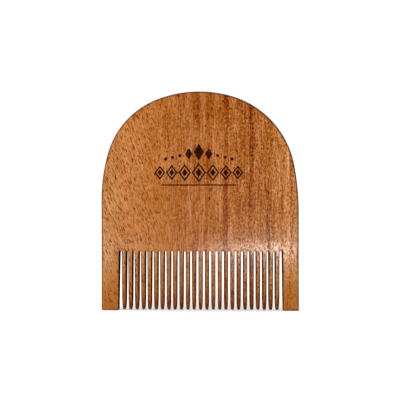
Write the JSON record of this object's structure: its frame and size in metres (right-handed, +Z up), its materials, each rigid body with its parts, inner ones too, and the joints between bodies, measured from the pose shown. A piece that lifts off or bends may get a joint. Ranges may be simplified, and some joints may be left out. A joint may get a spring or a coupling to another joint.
{
  "type": "beard comb",
  "caption": "Pocket-size arched wooden beard comb with fine tapered teeth between wide end guards and a burnt geometric ornament.",
  "frame": {"origin": "midway between the feet of the two end guards, on the plane they stand on and at half the board's thickness", "axes": "+Z up the board from the feet to the crown; +Y through the board's thickness, towards the plain face, so the marked front faces -Y; +X across the board, to the right as seen from the front"},
  "size_m": [0.08, 0.0066, 0.0886],
  "materials": {
    "oiled_wood": "oiled satin",
    "charred_wood": "matt, burnt"
  },
  "bodies": {
    "root": {"back": "oiled_wood", "guard_left": "oiled_wood", "guard_right": "oiled_wood", "burnt_mark": "charred_wood", "tooth_01": "oiled_wood", "tooth_02": "oiled_wood", "tooth_03": "oiled_wood", "tooth_04": "oiled_wood", "tooth_05": "oiled_wood", "tooth_06": "oiled_wood", "tooth_07": "oiled_wood", "tooth_08": "oiled_wood", "tooth_09": "oiled_wood", "tooth_10": "oiled_wood", "tooth_11": "oiled_wood", "tooth_12": "oiled_wood", "tooth_13": "oiled_wood", "tooth_14": "oiled_wood", "tooth_15": "oiled_wood", "tooth_16": "oiled_wood", "tooth_17": "oiled_wood", "tooth_18": "oiled_wood", "tooth_19": "oiled_wood", "tooth_20": "oiled_wood", "tooth_21": "oiled_wood", "tooth_22": "oiled_wood", "tooth_23": "oiled_wood", "tooth_24": "oiled_wood", "tooth_25": "oiled_wood"}
  },
  "joints": []
}
